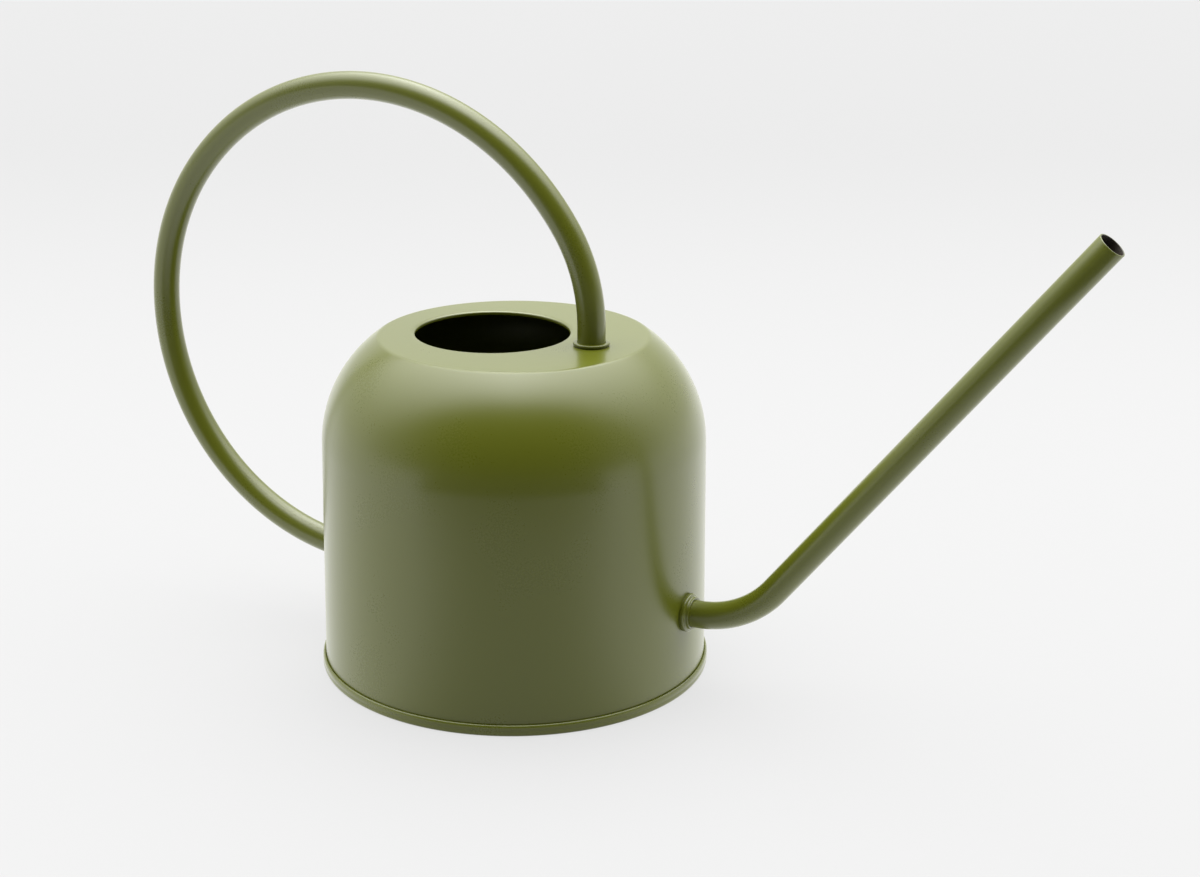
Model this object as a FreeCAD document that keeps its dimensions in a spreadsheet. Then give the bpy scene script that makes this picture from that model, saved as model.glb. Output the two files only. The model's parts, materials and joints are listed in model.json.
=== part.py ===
import FreeCAD, Part
import math
import os
import Sketcher

# Watering can: a spun steel tank with a seamed-in base, a bent spout tube and a looped handle tube.
# Millimetres. +Z is up, +X points along the spout, and the origin is the centre of the base at rest level.

doc = FreeCAD.newDocument("watering_can")

DRIVING = [
    ("sheet", 0.4, "Thickness of the steel sheet"),
    ("body_radius", 75.0, "Outside radius of the wall at the seam"),
    ("body_height", 131.5, "Height of the flat top"),
    ("wall_taper", 0.735, "Angle of the wall inwards, degrees"),
    ("shoulder_radius", 50.3, "Outside radius of the rounded shoulder"),
    ("crease_radius", 51.7, "Radius of the flat top at its crease"),
    ("crease_round", 3.0, "Rounding of the crease"),
    ("seam_height", 4.4, "Height of the seam round the base"),
    ("body_hook", 2.6, "Top of the wall's upturned hook inside the seam"),
    ("base_hook", 1.4, "Bottom of the base plate's downturned hook"),
    ("base_recess", 3.0, "Height of the base plate above rest level"),
    ("base_bead_radius", 58.0, "Radius of the pressed step in the base plate"),
    ("base_bead_rise", 1.2, "Rise of the pressed step"),
    ("filler_radius", 29.7, "Clear radius of the filler opening"),
    ("filler_offset", 9.4, "Distance of the filler behind the centre"),
    ("lip_flare", 4.0, "Outside radius of the easy bend where the top dips into the filler"),
    ("lip_slope", 20.0, "Angle which that bend turns through, degrees"),
    ("lip_round", 0.6, "Outside radius of the lip's tight bend"),
    ("lip_drop", 0.6, "Straight depth of the lip below its tight bend"),
    ("spout_radius", 5.25, "Outside radius of the spout tube"),
    ("spout_wall", 0.6, "Wall of the spout tube"),
    ("spout_height", 32.0, "Height of the spout's root"),
    ("spout_inner_end", 72.6, "Where the spout ends inside the tank"),
    ("spout_corner", 97.6, "Where the root's line meets the spout's slope"),
    ("spout_slope", 51.65, "Slope of the spout, degrees"),
    ("spout_bend", 41.0, "Centreline radius of the spout's bend"),
    ("spout_run", 202.4, "Length from that corner to the outlet"),
    ("handle_radius", 5.3, "Outside radius of the handle tube"),
    ("handle_wall", 1.0, "Wall of the handle tube"),
    ("handle_foot", 33.0, "Distance of the handle's foot in front of the centre"),
    ("handle_rise", 6.6, "Straight stretch above the foot"),
    ("handle_front_bend", 66.3, "Centreline radius of the front bend"),
    ("handle_top_bend", 102.9, "Centreline radius of the top bend"),
    ("handle_rear_bend", 93.2, "Centreline radius of the rear bend"),
    ("handle_top_centre", 63.9, "Distance of the top bend's centre behind the can's"),
    ("handle_root", 30.7, "Height where the handle meets the back wall"),
    ("foot_collar_radius", 6.9, "Outside radius of the collar at the handle's foot"),
    ("foot_collar_height", 1.5, "Height of that collar"),
    ("root_collar_radius", 7.4, "Outside radius of the wall collars"),
    ("root_collar_height", 1.7, "Thickness of a wall collar's flange"),
    ("collar_neck_radius", 6.2, "Outside radius of a wall collar's neck"),
    ("collar_neck_height", 3.0, "Height of that neck off the wall"),
    ("collar_round", 0.5, "Rounding of the collars' outer edges"),
    ("braze", 1.0, "Leg of the brazed fillets"),
]

sheet = doc.addObject("Spreadsheet::Sheet", "Dims")
for row, (alias, value, meaning) in enumerate(DRIVING, start=1):
    sheet.set("A%d" % row, alias)
    sheet.set("B%d" % row, str(value))
    sheet.setAlias("B%d" % row, alias)
    sheet.set("C%d" % row, meaning)
doc.recompute()


class Size:
    """A length worked out from the sheet: its number now, and the expression that keeps it up to date."""

    def __init__(self, value, text):
        self.value = value
        self.text = text

    @staticmethod
    def of(other):
        return other if isinstance(other, Size) else Size(float(other), repr(float(other)))

    def __add__(self, other):
        other = Size.of(other)
        return Size(self.value + other.value, "(%s + %s)" % (self.text, other.text))

    def __sub__(self, other):
        other = Size.of(other)
        return Size(self.value - other.value, "(%s - %s)" % (self.text, other.text))

    def __mul__(self, other):
        other = Size.of(other)
        return Size(self.value * other.value, "(%s * %s)" % (self.text, other.text))

    def __truediv__(self, other):
        other = Size.of(other)
        return Size(self.value / other.value, "(%s / %s)" % (self.text, other.text))

    def __neg__(self):
        return Size(-self.value, "(-1 * %s)" % self.text)

    __radd__ = __add__
    __rmul__ = __mul__

    def __rsub__(self, other):
        return Size.of(other) - self


def dim(alias):
    return Size(float(sheet.get(alias)), "Dims." + alias)


def sine(angle):
    return Size(math.sin(math.radians(angle.value)), "sin(%s)" % angle.text)


def cosine(angle):
    return Size(math.cos(math.radians(angle.value)), "cos(%s)" % angle.text)


def root(size):
    return Size(math.sqrt(size.value), "sqrt(%s)" % size.text)


def new_body(label):
    body = doc.addObject("PartDesign::Body", label)
    body.Label = label
    return body


def plane_of(body, role):
    return next(item for item in body.Origin.OriginFeatures if item.Role == role)


def new_sketch(body, name, role="XZ_Plane", shift=(0, 0, 0)):
    """A sketch on one of the body's own planes, moved by shift in the sketch's own directions."""
    sketch = body.newObject("Sketcher::SketchObject", name)
    sketch.AttachmentSupport = [(plane_of(body, role), "")]
    sketch.MapMode = "FlatFace"
    for letter, step in zip("xyz", shift):
        if isinstance(step, Size):
            sketch.setExpression("AttachmentOffset.Base." + letter, step.text)
    doc.recompute()
    return sketch


def bind(sketch, kind, *where, size):
    """One constraint with its value tied to the sheet."""
    index = sketch.addConstraint(Sketcher.Constraint(kind, *where, size.value))
    sketch.setExpression("Constraints[%d]" % index, size.text)


def pin_point(sketch, edge, end, x, y):
    bind(sketch, "DistanceX", -1, 1, edge, end, size=Size.of(x))
    bind(sketch, "DistanceY", -1, 1, edge, end, size=Size.of(y))


def arc_between(start, end, radius):
    """The arc from start to end. A positive radius turns to the left, a negative one to the right."""
    half = FreeCAD.Vector((end[0] - start[0]) / 2, (end[1] - start[1]) / 2, 0)
    rise = math.sqrt(max(radius * radius - half.Length ** 2, 0.0))
    side = math.copysign(1.0, radius)
    left = FreeCAD.Vector(-half.y, half.x, 0).normalize()
    centre = FreeCAD.Vector(start[0], start[1], 0) + half + left * (rise * side)
    first, last = (start, end) if radius > 0 else (end, start)
    angles = [math.atan2(point[1] - centre.y, point[0] - centre.x) for point in (first, last)]
    circle = Part.Circle(centre, FreeCAD.Vector(0, 0, 1), abs(radius))
    return Part.ArcOfCircle(circle, angles[0], angles[1])


def draw_outline(sketch, corners):
    """A closed outline. Each corner is (x, y), or (x, y, radius) where an arc leads up to it."""
    sizes = [tuple(Size.of(number) for number in corner) for corner in corners]
    count = len(sizes)
    ends = []
    for index, corner in enumerate(sizes):
        before = sizes[index - 1]
        start = (before[0].value, before[1].value)
        end = (corner[0].value, corner[1].value)
        if len(corner) == 3:
            edge = sketch.addGeometry(arc_between(start, end, corner[2].value))
            turned = corner[2].value < 0
            span = math.hypot(end[0] - start[0], end[1] - start[1])
            if abs(span - 2 * abs(corner[2].value)) < 1e-6:
                # A half turn between two points at one height: its centre is level with them.
                bind(sketch, "DistanceY", -1, 1, edge, 3, size=corner[1])
            else:
                bind(sketch, "Radius", edge, size=-corner[2] if turned else corner[2])
            ends.append((edge, 2, 1) if turned else (edge, 1, 2))
        else:
            line = Part.LineSegment(FreeCAD.Vector(*start, 0), FreeCAD.Vector(*end, 0))
            ends.append((sketch.addGeometry(line), 1, 2))
    for index, (edge, first, last) in enumerate(ends):
        following = ends[(index + 1) % count]
        sketch.addConstraint(Sketcher.Constraint("Coincident", edge, last, following[0], following[1]))
        pin_point(sketch, edge, last, sizes[index][0], sizes[index][1])
    doc.recompute()


def draw_circles(sketch, *radii):
    for radius in radii:
        circle = Part.Circle(FreeCAD.Vector(0, 0, 0), FreeCAD.Vector(0, 0, 1), radius.value)
        edge = sketch.addGeometry(circle)
        sketch.addConstraint(Sketcher.Constraint("Coincident", edge, 3, -1, 1))
        bind(sketch, "Radius", edge, size=radius)
    doc.recompute()


def turn(body, kind, sketch, name, axis="V_Axis"):
    """Turns a sketch once round its own axis: a PartDesign::Revolution adds, a PartDesign::Groove cuts."""
    feature = body.newObject(kind, name)
    feature.Profile = sketch
    feature.ReferenceAxis = (sketch, [axis])
    feature.Angle = 360
    doc.recompute()
    return feature


def round_edges(body, name, radius, chosen):
    """Rounds the edges of the body's last feature that chosen(edge) picks."""
    base = body.Tip
    names = ["Edge%d" % number for number, edge in enumerate(base.Shape.Edges, start=1) if chosen(edge)]
    if not names:
        raise RuntimeError("no edge to round for " + name)
    fillet = body.newObject("PartDesign::Fillet", name)
    fillet.Base = (base, names)
    fillet.setExpression("Radius", radius.text)
    doc.recompute()
    return fillet


def is_ring(edge, radius):
    """True for a closed circle of about this radius."""
    return edge.isClosed() and hasattr(edge.Curve, "Radius") and abs(edge.Curve.Radius - radius) < 0.02


# Shared sizes of the tank's outside, which the shell is made to and the collars and tubes are cut to.
thick = dim("sheet")
wall = dim("body_radius")
height = dim("body_height")
seam_top = dim("seam_height")
shoulder = dim("shoulder_radius")
crease = dim("crease_radius")
lean = dim("wall_taper")

# The shoulder's arc touches the leaning wall and ends on the crease. Its centre lies on a line parallel
# to the wall, one shoulder radius inside it, at one shoulder radius from the crease.
reach_in = (wall - crease) * cosine(lean) - (height - seam_top) * sine(lean)
gap_to_line = shoulder - reach_in
along_line = root(shoulder * shoulder - gap_to_line * gap_to_line)
shoulder_r = crease - gap_to_line * cosine(lean) + along_line * sine(lean)
shoulder_z = height - gap_to_line * sine(lean) - along_line * cosine(lean)


def shoulder_foot(radius):
    """The point where the wall runs into the shoulder, for the outside or the inside radius."""
    return shoulder_r + radius * cosine(lean), shoulder_z + radius * sine(lean)


def tank_outline():
    """The tank's outside from the base's centre up to the top's centre."""
    foot_r, foot_z = shoulder_foot(shoulder)
    return [(0, 0), (wall, 0), (wall, seam_top), (foot_r, foot_z), (crease, height, shoulder), (0, height)]


def cut_to_tank(body, name):
    """Cuts away all that reaches into the tank, so the piece seats on its outside."""
    sketch = new_sketch(body, name + "_outline")
    draw_outline(sketch, tank_outline())
    return turn(body, "PartDesign::Groove", sketch, name)


def make_body_shell():
    body = new_body("body_shell")
    inner = shoulder - thick
    low_r, low_z = shoulder_foot(shoulder)
    low_in_r, low_in_z = shoulder_foot(inner)
    crease_in = shoulder_r + root(inner * inner - (height - thick - shoulder_z) * (height - thick - shoulder_z))
    turn_z = 2.5 * thick
    profile = new_sketch(body, "shell_profile")
    draw_outline(profile, [
        (0, height - thick),
        (crease_in, height - thick),
        (low_in_r, low_in_z, -inner),
        (wall - thick, seam_top),
        (wall - thick, turn_z),
        (wall + 2 * thick, turn_z, 1.5 * thick),
        (wall + 2 * thick, dim("body_hook")),
        (wall + thick, dim("body_hook")),
        (wall + thick, turn_z),
        (wall, turn_z, -0.5 * thick),
        (wall, seam_top),
        (low_r, low_z),
        (crease, height, shoulder),
        (0, height),
    ])
    turn(body, "PartDesign::Revolution", profile, "shell_turned")
    round_edges(body, "crease_rounding", dim("crease_round"), lambda edge: is_ring(edge, crease.value))

    edge_r = dim("filler_radius")
    flare = dim("lip_flare")
    tight = dim("lip_round")
    dip = dim("lip_slope")
    lip_outer = edge_r + tight * (1 - sine(dip)) + flare * sine(dip)
    cutter = new_sketch(body, "filler_circle", "XY_Plane", (-dim("filler_offset"), 0, height + thick))
    draw_circles(cutter, lip_outer)
    hole = body.newObject("PartDesign::Pocket", "filler_hole")
    hole.Profile = cutter
    hole.setExpression("Length", (4 * thick).text)
    doc.recompute()

    lip = new_sketch(body, "lip_profile", "XZ_Plane", (-dim("filler_offset"), 0, 0))
    tight_z = height - flare * (1 - cosine(dip)) - tight * cosine(dip)
    rim_z = tight_z - dim("lip_drop")
    draw_outline(lip, [
        (lip_outer, height),
        (edge_r + tight * (1 - sine(dip)), tight_z + tight * cosine(dip), flare),
        (edge_r, tight_z, tight),
        (edge_r, rim_z),
        (edge_r + thick, rim_z, 0.5 * thick),
        (edge_r + thick, tight_z),
        (edge_r + tight - (tight - thick) * sine(dip), tight_z + (tight - thick) * cosine(dip), -(tight - thick)),
        (lip_outer, height - thick, -(flare - thick)),
    ])
    turn(body, "PartDesign::Revolution", lip, "filler_lip")

    bore = new_sketch(body, "spout_circle", "YZ_Plane", (0, dim("spout_height"), 0))
    draw_circles(bore, dim("spout_radius"))
    spout_hole = body.newObject("PartDesign::Pocket", "spout_hole")
    spout_hole.Profile = bore
    spout_hole.Type = "ThroughAll"
    spout_hole.Reversed = True
    doc.recompute()
    return body


def make_base_plate():
    body = new_body("base_plate")
    low = dim("base_recess")
    rise = dim("base_bead_rise")
    bead = dim("base_bead_radius")
    chuck = wall - 2 * thick
    outside = wall + 3 * thick
    bend = 1.5 * thick
    tight = 0.5 * thick
    curl_z = seam_top - bend
    profile = new_sketch(body, "plate_profile")
    draw_outline(profile, [
        (0, low + rise),
        (bead - rise, low + rise),
        (bead + rise, low),
        (chuck - bend, low),
        (chuck, low - bend, -bend),
        (chuck, bend),
        (chuck + bend, 0, bend),
        (outside - bend, 0),
        (outside, bend, bend),
        (outside, curl_z),
        (wall, curl_z, bend),
        (wall, dim("base_hook")),
        (wall + thick, dim("base_hook")),
        (wall + thick, curl_z),
        (wall + 2 * thick, curl_z, -tight),
        (wall + 2 * thick, bend),
        (wall + 2 * thick - tight, thick, -tight),
        (wall - thick + tight, thick),
        (wall - thick, bend, -tight),
        (wall - thick, low - bend),
        (chuck - bend, low + thick, bend + thick),
        (bead + rise, low + thick),
        (bead - rise, low + rise + thick),
        (0, low + rise + thick),
    ])
    turn(body, "PartDesign::Revolution", profile, "plate_turned")
    return body


def make_seam_sealant():
    body = new_body("seam_sealant")
    curl_z = seam_top - 1.5 * thick
    profile = new_sketch(body, "sealant_profile")
    draw_outline(profile, [
        (wall + thick, dim("body_hook")),
        (wall + 2 * thick, dim("body_hook")),
        (wall + 2 * thick, curl_z),
        (wall + thick, curl_z),
    ])
    turn(body, "PartDesign::Revolution", profile, "sealant_turned")
    return body


def sweep_tube(body, route, outer, gauge, start_x, start_z, name):
    """A tube along the route, which sets off along X from (start_x, start_z)."""
    section = new_sketch(body, name + "_section", "YZ_Plane", (0, start_z, start_x))
    draw_circles(section, outer, outer - gauge)
    tube = body.newObject("PartDesign::AdditivePipe", name)
    tube.Profile = section
    tube.Spine = (route, ["Edge%d" % number for number in range(1, route.GeometryCount + 1)])
    doc.recompute()
    return tube


def chain_route(sketch, pieces):
    """Lines and arcs joined end to end, each running smoothly into the next."""
    edges = [sketch.addGeometry(piece) for piece, start, end in pieces]
    for index in range(1, len(edges)):
        leave = pieces[index - 1][2]
        enter = pieces[index][1]
        joint = Sketcher.Constraint("Tangent", edges[index - 1], leave, edges[index], enter)
        sketch.addConstraint(joint)
    return edges


def make_spout_tube():
    body = new_body("spout_tube")
    level = dim("spout_height")
    corner = dim("spout_corner")
    slope = dim("spout_slope")
    bend = dim("spout_bend")
    run = dim("spout_run")
    setback = bend * sine(slope) / (1 + cosine(slope))
    tip = (corner + run * cosine(slope), level + run * sine(slope))
    rise_from = (corner + setback * cosine(slope), level + setback * sine(slope))
    turn_from = corner - setback
    route = new_sketch(body, "spout_route")
    start = FreeCAD.Vector(dim("spout_inner_end").value, level.value, 0)
    bend_start = FreeCAD.Vector(turn_from.value, level.value, 0)
    bend_end = FreeCAD.Vector(rise_from[0].value, rise_from[1].value, 0)
    outlet = FreeCAD.Vector(tip[0].value, tip[1].value, 0)
    arc = arc_between(bend_start, bend_end, bend.value)
    edges = chain_route(route, [
        (Part.LineSegment(start, bend_start), 1, 2),
        (arc, 1, 2),
        (Part.LineSegment(bend_end, outlet), 1, 2),
    ])
    pin_point(route, edges[0], 1, dim("spout_inner_end"), level)
    route.addConstraint(Sketcher.Constraint("Horizontal", edges[0]))
    bind(route, "Radius", edges[1], size=bend)
    pin_point(route, edges[2], 2, tip[0], tip[1])
    doc.recompute()
    sweep_tube(body, route, dim("spout_radius"), dim("spout_wall"), dim("spout_inner_end"), level, "spout_swept")
    return body


def make_handle_tube():
    body = new_body("handle_tube")
    foot = dim("handle_foot")
    top = height + dim("handle_rise")
    level = dim("handle_root")
    front = dim("handle_front_bend")
    crown = dim("handle_top_bend")
    rear = dim("handle_rear_bend")
    overlap = 4.0
    front_at = (foot - front, top)
    crown_x = -dim("handle_top_centre")
    side = crown_x - front_at[0]
    crown_at = (crown_x, top - root((crown - front) * (crown - front) - side * side))
    drop = crown_at[1] - level - rear
    rear_at = (crown_x - root((crown - rear) * (crown - rear) - drop * drop), level + rear)

    def join(inner, outer, radius):
        """Where two bends meet: on the line through their centres."""
        span = math.hypot(inner[0].value - outer[0].value, inner[1].value - outer[1].value)
        x = inner[0].value + (inner[0].value - outer[0].value) / span * radius.value
        z = inner[1].value + (inner[1].value - outer[1].value) / span * radius.value
        return FreeCAD.Vector(x, z, 0)

    start_x = overlap - wall
    start = FreeCAD.Vector(start_x.value, level.value, 0)
    rear_start = FreeCAD.Vector(rear_at[0].value, level.value, 0)
    rear_end = join(rear_at, crown_at, rear)
    crown_end = join(front_at, crown_at, front)
    front_end = FreeCAD.Vector(foot.value, top.value, 0)
    end = FreeCAD.Vector(foot.value, height.value - overlap, 0)
    route = new_sketch(body, "handle_route")
    edges = chain_route(route, [
        (Part.LineSegment(start, rear_start), 1, 2),
        (arc_between(rear_start, rear_end, -rear.value), 2, 1),
        (arc_between(rear_end, crown_end, -crown.value), 2, 1),
        (arc_between(crown_end, front_end, -front.value), 2, 1),
        (Part.LineSegment(front_end, end), 1, 2),
    ])
    pin_point(route, edges[0], 1, start_x, level)
    route.addConstraint(Sketcher.Constraint("Horizontal", edges[0]))
    bind(route, "Radius", edges[1], size=rear)
    bind(route, "Radius", edges[2], size=crown)
    bind(route, "Radius", edges[3], size=front)
    bind(route, "DistanceX", -1, 1, edges[2], 3, size=crown_x)
    bind(route, "DistanceY", -1, 1, edges[4], 1, size=top)
    pin_point(route, edges[4], 2, foot, height - overlap)
    doc.recompute()
    sweep_tube(body, route, dim("handle_radius"), dim("handle_wall"), start_x, level, "handle_swept")
    cut_to_tank(body, "handle_trimmed")
    return body


def make_foot_ring(label, corners, rounded=None):
    """A ring round the handle's foot, from corners (radius, height above the flat top)."""
    body = new_body(label)
    profile = new_sketch(body, label + "_profile", "XZ_Plane", (dim("handle_foot"), 0, 0))
    draw_outline(profile, [(radius, height + up) for radius, up in corners])
    turn(body, "PartDesign::Revolution", profile, label + "_turned")
    if rounded is not None:
        round_edges(body, label + "_rounding", dim("collar_round"), lambda edge: is_ring(edge, rounded.value))
    return body


def make_foot_collar():
    tube = dim("handle_radius")
    outer = dim("foot_collar_radius")
    corners = [
        (tube + dim("braze"), 0),
        (outer, 0),
        (outer, dim("foot_collar_height")),
        (tube, dim("foot_collar_height")),
        (tube, dim("braze")),
    ]
    return make_foot_ring("handle_foot_collar", corners, rounded=outer)


def make_foot_braze():
    tube = dim("handle_radius")
    return make_foot_ring("handle_foot_braze", [(tube, 0), (tube + dim("braze"), 0), (tube, dim("braze"))])


def make_wall_ring(label, level, side, corners):
    """A ring round a tube that meets the wall level at this height. Corners are (distance, radius)."""
    body = new_body(label)
    profile = new_sketch(body, label + "_profile", "XZ_Plane", (0, level, 0))
    draw_outline(profile, [(side * distance, radius) for distance, radius in corners])
    turn(body, "PartDesign::Revolution", profile, label + "_turned", "H_Axis")
    return body


def wall_at(level):
    """The outside radius of the wall at this height."""
    return wall - (level - seam_top) * sine(lean) / cosine(lean)


def make_wall_collar(label, level, side, tube):
    """A flanged collar on the outside of the wall, hollowed behind for the brazed fillet."""
    face = wall_at(level)
    inside = face - 2
    body = make_wall_ring(label, level, side, [
        (inside, tube + dim("braze")),
        (face - 0.5 * dim("braze"), tube + dim("braze")),
        (face + 0.5 * dim("braze"), tube),
        (face + dim("collar_neck_height"), tube),
        (face + dim("collar_neck_height"), dim("collar_neck_radius")),
        (face + dim("root_collar_height"), dim("collar_neck_radius")),
        (face + dim("root_collar_height"), dim("root_collar_radius")),
        (inside, dim("root_collar_radius")),
    ])
    cut_to_tank(body, label + "_seated")
    outline = (dim("root_collar_radius").value, dim("collar_neck_radius").value)
    end_x = side * (face + dim("root_collar_height")).value
    tip_x = side * (face + dim("collar_neck_height")).value

    def outer_edge(edge):
        middle = edge.BoundBox.Center.x
        flange = is_ring(edge, outline[0]) and abs(middle - end_x) < 0.01
        neck = is_ring(edge, outline[1]) and abs(middle - tip_x) < 0.01
        return flange or neck

    round_edges(body, label + "_rounding", dim("collar_round"), outer_edge)
    return body


def make_wall_braze(label, level, side, tube):
    """The brazed fillet between a tube and the outside of the wall, hidden in its collar."""
    face = wall_at(level)
    body = make_wall_ring(label, level, side, [
        (face - 2, tube),
        (face + 0.5 * dim("braze"), tube),
        (face - 0.5 * dim("braze"), tube + dim("braze")),
        (face - 2, tube + dim("braze")),
    ])
    cut_to_tank(body, label + "_seated")
    return body


def make_all():
    return [
        make_body_shell(),
        make_base_plate(),
        make_seam_sealant(),
        make_spout_tube(),
        make_wall_collar("spout_collar", dim("spout_height"), 1, dim("spout_radius")),
        make_wall_braze("spout_braze", dim("spout_height"), 1, dim("spout_radius")),
        make_handle_tube(),
        make_foot_collar(),
        make_foot_braze(),
        make_wall_collar("handle_root_collar", dim("handle_root"), -1, dim("handle_radius")),
        make_wall_braze("handle_root_braze", dim("handle_root"), -1, dim("handle_radius")),
    ]


bodies = make_all()
doc.recompute()

for item in doc.Objects:
    if "Invalid" in item.State or "Error" in item.State:
        raise RuntimeError("%s did not build: %s" % (item.Name, item.State))

os.makedirs("parts", exist_ok=True)
for body in bodies:
    if body.Shape.isNull() or not body.Shape.isValid() or len(body.Shape.Solids) != 1:
        raise RuntimeError("%s is not one valid solid" % body.Label)
    body.Shape.exportStep("parts/%s.step" % body.Label)
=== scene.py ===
import json
import math

import bpy
from bpy.props import FloatProperty, FloatVectorProperty, IntProperty, PointerProperty
from bpy.types import Operator, Panel, PropertyGroup
from mathutils import Matrix, Vector

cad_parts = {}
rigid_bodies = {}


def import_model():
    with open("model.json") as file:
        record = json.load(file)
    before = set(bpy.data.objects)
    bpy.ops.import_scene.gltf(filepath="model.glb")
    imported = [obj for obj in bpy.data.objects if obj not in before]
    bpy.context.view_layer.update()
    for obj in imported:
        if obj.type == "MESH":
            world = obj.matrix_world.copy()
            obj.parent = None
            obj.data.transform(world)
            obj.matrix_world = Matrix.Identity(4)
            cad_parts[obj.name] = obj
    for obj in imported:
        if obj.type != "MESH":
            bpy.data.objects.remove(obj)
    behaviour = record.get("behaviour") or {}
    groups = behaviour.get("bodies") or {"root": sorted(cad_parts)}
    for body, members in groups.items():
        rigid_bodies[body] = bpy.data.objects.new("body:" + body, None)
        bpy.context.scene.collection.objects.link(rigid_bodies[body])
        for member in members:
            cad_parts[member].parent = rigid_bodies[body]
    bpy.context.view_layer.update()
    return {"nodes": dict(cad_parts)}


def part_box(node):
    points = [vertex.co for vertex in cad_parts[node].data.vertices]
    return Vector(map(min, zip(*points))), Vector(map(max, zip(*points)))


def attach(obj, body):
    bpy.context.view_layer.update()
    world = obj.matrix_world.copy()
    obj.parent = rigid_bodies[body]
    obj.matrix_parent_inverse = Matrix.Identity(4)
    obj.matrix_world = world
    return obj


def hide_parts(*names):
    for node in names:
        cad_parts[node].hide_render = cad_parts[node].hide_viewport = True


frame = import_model()

bl_info = {
    "name": "Watering can",
    "version": (1, 0, 0),
    "blender": (4, 5, 0),
    "location": "View3D > Sidebar > Can",
    "description": "Spins, bends and coats a sheet-steel watering can on its packed frame",
    "category": "Add Mesh",
}

BODY = "root"
UP = Vector((0, 0, 1))
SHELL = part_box("body_shell")
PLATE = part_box("base_plate")
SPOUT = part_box("spout_tube")
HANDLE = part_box("handle_tube")
SPOUT_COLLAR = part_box("spout_collar")
FOOT_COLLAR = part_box("handle_foot_collar")
SHEET = SHELL[0].z
WALL = SHELL[1].x - 2 * SHEET


# ---------------------------------------------------------------- sizes and colours

def length(label, text, default):
    return FloatProperty(name=label, description=text, default=default, min=0, unit="LENGTH", precision=5)


def turn(label, text, degrees):
    return FloatProperty(name=label, description=text, default=math.radians(degrees), unit="ROTATION")


def colour(label, text, default):
    return FloatVectorProperty(name=label, description=text, default=default, subtype="COLOR", min=0, max=1)


def share(label, text, default):
    return FloatProperty(name=label, description=text, default=default, min=0, max=1, subtype="FACTOR")


def amount(label, text, default, least=0.0):
    return FloatProperty(name=label, description=text, default=default, min=least)


class CanTank(PropertyGroup):
    wall: length("Wall radius", "Outside radius of the wall at the seam", WALL)
    height: length("Height", "Height of the flat top", SHELL[1].z)
    sheet: length("Sheet", "Thickness of the steel sheet", SHEET)
    taper: turn("Taper", "Lean of the wall inwards", 0.735)
    shoulder: length("Shoulder", "Radius of the rounded shoulder", 0.0503)
    crease: length("Crease", "Radius of the flat top", 0.0517)
    crease_round: length("Crease rounding", "Rounding between shoulder and top", 0.003)
    filler: length("Filler", "Clear radius of the filler opening", 0.0297)
    filler_back: length("Filler setback", "Distance of the filler behind the centre", 0.0094)
    lip_flare: length("Lip flare", "Radius of the easy bend where the top dips into the filler", 0.004)
    lip_slope: turn("Lip slope", "How far that bend turns", 20)
    lip_round: length("Lip rounding", "Radius of the lip's tight bend", 0.0006)
    lip_drop: length("Lip drop", "Straight depth of the lip", 0.0006)
    hook: length("Hook", "Top of the wall's hook in the seam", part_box("seam_sealant")[0].z)
    steps: IntProperty(name="Steps", description="Steps round the tank", default=256, min=32)


class CanBase(PropertyGroup):
    outside: length("Seam radius", "Outside radius of the seam", PLATE[1].x)
    seam: length("Seam height", "Height of the seam", 0.0044)
    hook: length("Hook", "Bottom of the plate's hook in the seam", 0.0014)
    recess: length("Recess", "Height of the plate above rest level", 0.003)
    bead: length("Step radius", "Radius of the pressed step", 0.058)
    bead_rise: length("Step rise", "Rise of the pressed step", 0.0012)
    low_bend: length("Lower bend", "Rounding of the seam's lower outside edge", 0.001)
    top_bend: length("Top bend", "How far down the outside the seam's top is rounded", 0.0012)
    top_width: length("Top width", "How far in the seam's top is rounded", 0.00075)
    groove: length("Roller groove", "Depth of the groove rolled into the seam", 0.00010)


class CanSpout(PropertyGroup):
    radius: length("Radius", "Outside radius of the tube", SPOUT[1].y)
    wall: length("Wall", "Wall of the tube", 0.0006)
    level: length("Root height", "Height of the root", SPOUT[0].z + SPOUT[1].y)
    slope: turn("Slope", "Slope of the straight run", 51.65)
    bend: length("Bend", "Centreline radius of the bend", 0.041)
    rim: length("Rim", "Rounding of the outlet's rim", 0.00022)


class CanHandle(PropertyGroup):
    radius: length("Radius", "Outside radius of the tube", HANDLE[1].y)
    wall: length("Wall", "Wall of the tube", 0.001)
    level: length("Root height", "Height where it meets the wall", HANDLE[0].z + HANDLE[1].y)
    front: length("Front bend", "Centreline radius of the front bend", 0.0663)
    top: length("Top bend", "Centreline radius of the top bend", 0.1029)
    rear: length("Rear bend", "Centreline radius of the rear bend", 0.0932)
    setback: length("Crown setback", "Distance of the top bend's centre behind the can's", 0.0639)
    rise: length("Foot", "Straight stretch above the flat top", 0.0066)


class CanCollars(PropertyGroup):
    foot: length("Foot ring", "Outside radius of the ring at the handle's foot", FOOT_COLLAR[1].y)
    foot_height: length("Foot ring height", "Height of that ring", FOOT_COLLAR[1].z - FOOT_COLLAR[0].z)
    flange: length("Flange", "Outside radius of a wall collar", SPOUT_COLLAR[1].y)
    flange_height: length("Flange height", "Thickness of its flange", 0.0017)
    neck: length("Neck", "Outside radius of its neck", 0.0062)
    neck_height: length("Neck height", "Height of its neck off the wall", 0.003)
    rounding: length("Rounding", "Rounding of the edges", 0.0005)


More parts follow.
